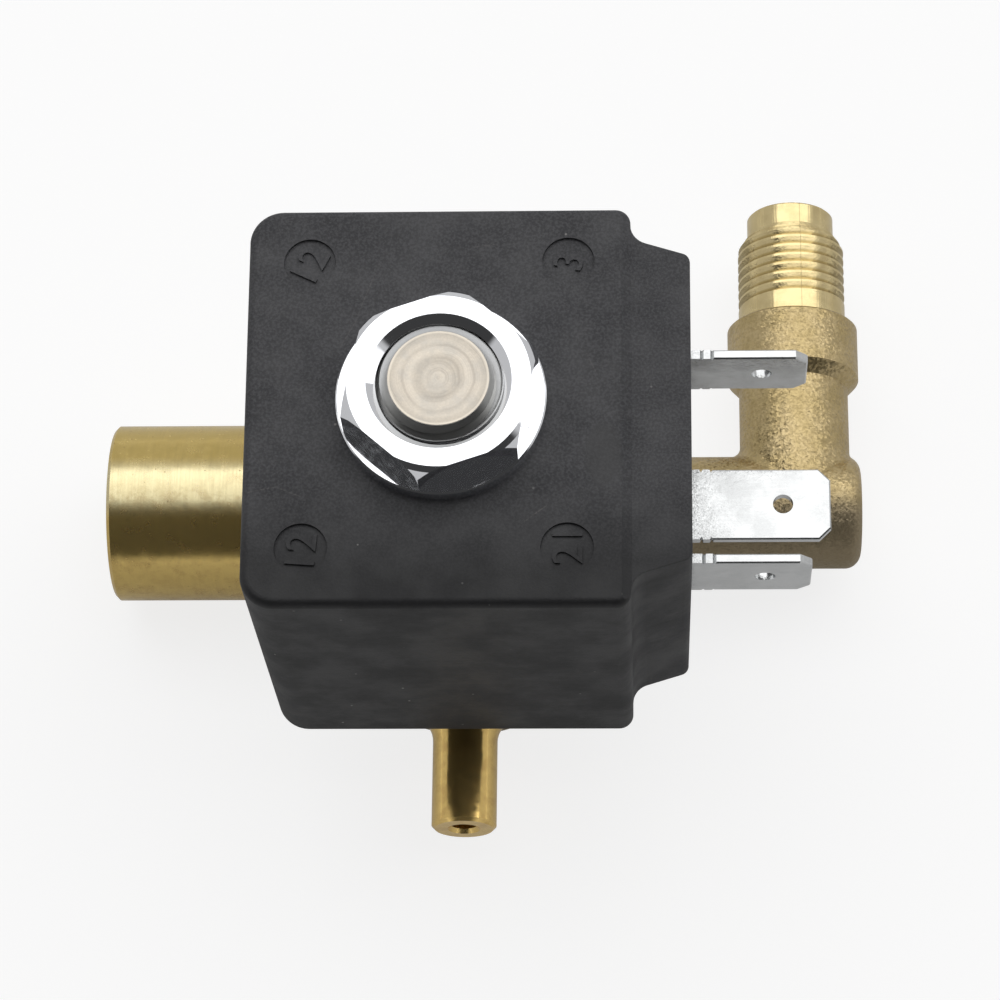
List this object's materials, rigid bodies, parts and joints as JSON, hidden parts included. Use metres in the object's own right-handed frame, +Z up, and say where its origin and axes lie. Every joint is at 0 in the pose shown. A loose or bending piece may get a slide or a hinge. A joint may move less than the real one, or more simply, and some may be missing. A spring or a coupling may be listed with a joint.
{
  "type": "solenoid valve",
  "caption": "Direct-acting solenoid valve: forged brass body with inlet boss, threaded outlet elbow and drain spigot, under a square moulded coil with blade terminals and a flanged nut.",
  "frame": {"origin": "on the armature tube's axis at the body's flat underside", "axes": "+Z up the tube towards the nut, +X from the inlet boss to the outlet elbow, +Y the way the outlet points"},
  "size_m": [0.0672, 0.0587, 0.0549],
  "materials": {
    "forged_brass": "forged and partly turned",
    "stainless_seat": "turned",
    "seal_rubber": "smooth moulded rubber",
    "tube_steel": "drawn stainless steel",
    "collar_nickel": "nickel plated",
    "core_steel": "turned, dull nickel",
    "shade_copper": "copper",
    "nut_chrome": "bright plated",
    "plunger_steel": "ground stainless steel",
    "spring_steel": "drawn wire",
    "coil_moulding": "matt moulded thermoset",
    "bobbin_plastic": "natural glass-filled nylon",
    "winding_copper": "enamelled copper wire",
    "tape_film": "polyester tape",
    "yoke_steel": "zinc plated",
    "tin_plate": "tin plated"
  },
  "bodies": {
    "valve": {"valve_body": "forged_brass", "seat_insert": "stainless_seat", "tube_o_ring": "seal_rubber", "armature_tube": "tube_steel", "tube_collar": "collar_nickel", "fixed_core": "core_steel", "shading_ring": "shade_copper", "hex_flange_nut": "nut_chrome", "return_spring": "spring_steel"},
    "plunger": {"plunger": "plunger_steel", "plunger_seal": "seal_rubber"},
    "coil": {"coil_housing": "coil_moulding", "yoke_bracket": "yoke_steel", "yoke_plate": "yoke_steel", "bobbin": "bobbin_plastic", "copper_winding": "winding_copper", "winding_tape": "tape_film", "winding_lead_upper": "winding_copper", "winding_lead_lower": "winding_copper", "coil_terminal_upper": "tin_plate", "coil_terminal_lower": "tin_plate", "earth_terminal": "tin_plate", "earth_rivet": "yoke_steel"}
  },
  "joints": [
    {"name": "plunger_lift", "type": "slide", "parent": "valve", "child": "plunger", "axis": [0, 0, 1], "range_m": [0, 0.0015], "stiffness_N_per_m": 400, "springref_m": -0.003, "deforming": ["return_spring"]},
    {"name": "coil_swivel", "type": "hinge", "parent": "valve", "child": "coil", "pos_m": [0, 0, 0.0339], "axis": [0, 0, 1], "continuous": true}
  ]
}
